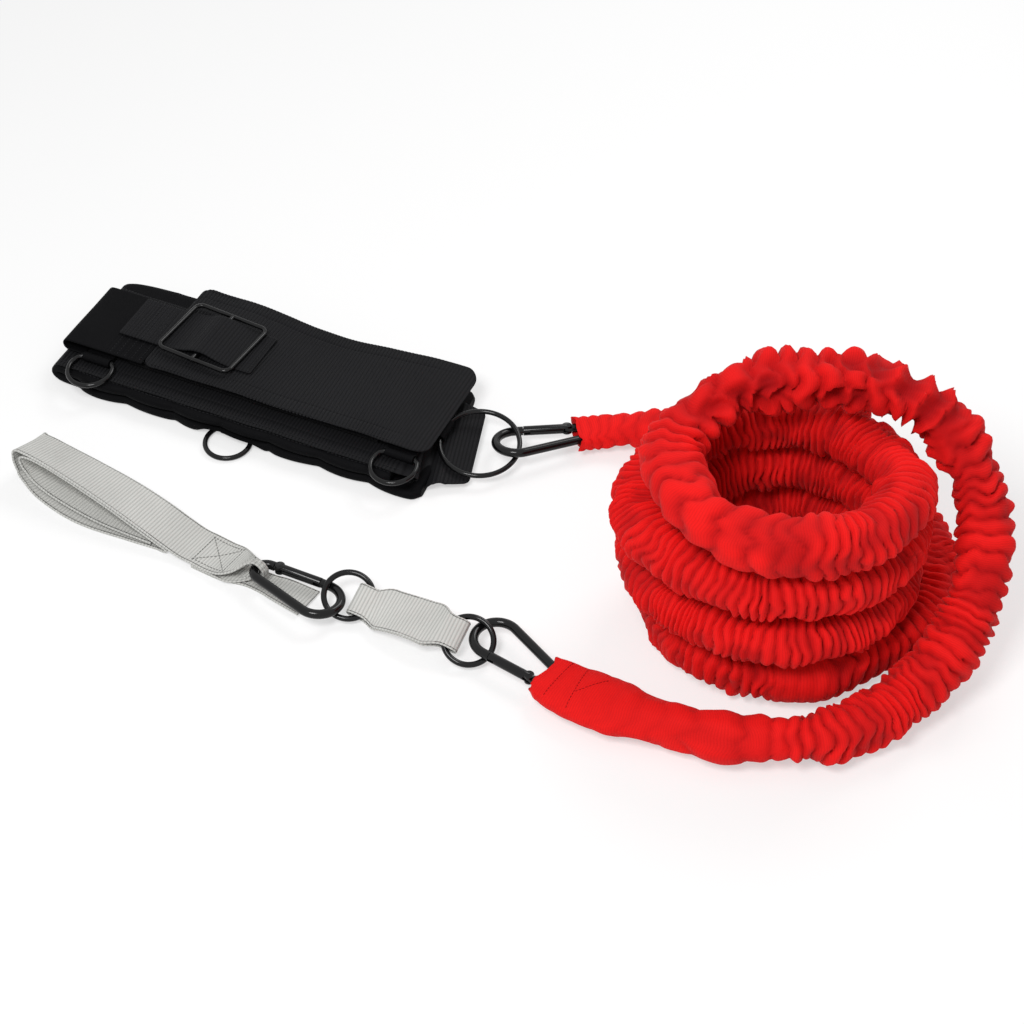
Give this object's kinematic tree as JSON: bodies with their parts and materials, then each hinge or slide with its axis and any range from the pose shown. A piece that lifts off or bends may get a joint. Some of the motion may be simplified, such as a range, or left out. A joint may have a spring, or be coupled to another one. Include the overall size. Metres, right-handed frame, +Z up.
{
  "type": "resistance sprint trainer",
  "caption": "Elastic resistance cord in a gathered sleeve, with a padded waist belt and a rolled anchor strap linked by snap hooks and rings, laid out with the cord coiled.",
  "frame": {"origin": "on the surface that the trainer lies on, in the middle of the box round the belt, straps, hooks and rings, without the sleeved cord", "axes": "+Z up, +X toward the side where the cord lies coiled, +Y toward the belt's side"},
  "size_m": [0.7347, 0.5156, 0.1959],
  "materials": {
    "black_metal": "glossy black",
    "steel": "bare",
    "black_webbing": "ribbed webbing",
    "black_pad": "smooth padded cloth",
    "grey_webbing": "ribbed webbing",
    "red_sleeve": "gathered woven sleeve",
    "elastic_rubber": "matt"
  },
  "bodies": {
    "trainer": {"belt_pad": "black_pad", "belt_band": "black_webbing", "loop_panel": "black_webbing", "hook_panel": "black_webbing", "belt_cover_webbing": "black_webbing", "side_strap": "black_webbing", "buckle_strap": "black_webbing", "slide_buckle": "black_metal", "left_tab": "black_webbing", "corner_tab": "black_webbing", "under_tab": "black_webbing", "end_tab": "black_webbing", "anchor_strap": "grey_webbing", "anchor_under_layer": "grey_webbing", "short_strap": "grey_webbing", "front_sewn_end": "red_sleeve", "sleeve_lead": "red_sleeve", "sleeve_coil": "red_sleeve", "sleeve_tail": "red_sleeve", "rear_sewn_end": "red_sleeve", "elastic_core": "elastic_rubber", "belt_hook_body": "black_metal", "belt_hook_pin": "steel", "anchor_hook_body": "black_metal", "anchor_hook_pin": "steel", "sleeve_hook_body": "black_metal", "sleeve_hook_pin": "steel"},
    "left_ring": {"left_ring": "black_metal"},
    "corner_ring": {"corner_ring": "black_metal"},
    "under_ring": {"under_ring": "black_metal"},
    "big_ring": {"big_ring": "black_metal"},
    "anchor_ring": {"anchor_ring": "black_metal"},
    "sleeve_ring": {"sleeve_ring": "black_metal"},
    "belt_hook_gate": {"belt_hook_gate": "black_metal", "belt_hook_plunger": "steel", "belt_hook_spring": "steel"},
    "anchor_hook_gate": {"anchor_hook_gate": "black_metal", "anchor_hook_plunger": "steel", "anchor_hook_spring": "steel"},
    "sleeve_hook_gate": {"sleeve_hook_gate": "black_metal", "sleeve_hook_plunger": "steel", "sleeve_hook_spring": "steel"}
  },
  "joints": [
    {"name": "left_ring_swing", "type": "hinge", "parent": "trainer", "child": "left_ring", "pos_m": [-0.17023, 0.11354, 0.02346], "axis": [-0.91, 0.4147, 0], "range_deg": [0, 85]},
    {"name": "corner_ring_swing", "type": "hinge", "parent": "trainer", "child": "corner_ring", "pos_m": [0.07405, 0.00331, 0.02346], "axis": [-0.91, 0.4147, 0], "range_deg": [0, 85]},
    {"name": "under_ring_swing", "type": "hinge", "parent": "trainer", "child": "under_ring", "pos_m": [-0.05741, 0.05003, 0.00366], "axis": [0.91, -0.4147, 0], "range_deg": [0, 85]},
    {"name": "big_ring_spin", "type": "hinge", "parent": "trainer", "child": "big_ring", "pos_m": [0.13455, 0.02484, 0.0159], "axis": [0.0033, -0.1719, 0.9851], "continuous": true},
    {"name": "anchor_ring_spin", "type": "hinge", "parent": "trainer", "child": "anchor_ring", "pos_m": [0.04085, -0.13286, 0.0129], "axis": [0.0437, -0.3899, 0.9198], "continuous": true},
    {"name": "sleeve_ring_spin", "type": "hinge", "parent": "trainer", "child": "sleeve_ring", "pos_m": [0.12855, -0.17726, 0.0133], "axis": [0.0455, -0.4186, 0.907], "continuous": true},
    {"name": "belt_hook_gate_hinge", "type": "hinge", "parent": "trainer", "child": "belt_hook_gate", "pos_m": [0.20232, 0.04628, 0.0115], "axis": [-0.011, 0.2203, 0.9754], "range_deg": [0, 25], "stiffness_Nm_per_rad": 0.06, "springref_deg": -22.92},
    {"name": "anchor_hook_gate_hinge", "type": "hinge", "parent": "trainer", "child": "anchor_hook_gate", "pos_m": [-0.01086, -0.10529, 0.01266], "axis": [-0.0692, -0.092, -0.9933], "range_deg": [0, 25], "stiffness_Nm_per_rad": 0.06, "springref_deg": -22.92},
    {"name": "sleeve_hook_gate_hinge", "type": "hinge", "parent": "trainer", "child": "sleeve_hook_gate", "pos_m": [0.17159, -0.21272, 0.01395], "axis": [0.0049, -0.0173, -0.9998], "range_deg": [0, 25], "stiffness_Nm_per_rad": 0.06, "springref_deg": -22.92}
  ]
}
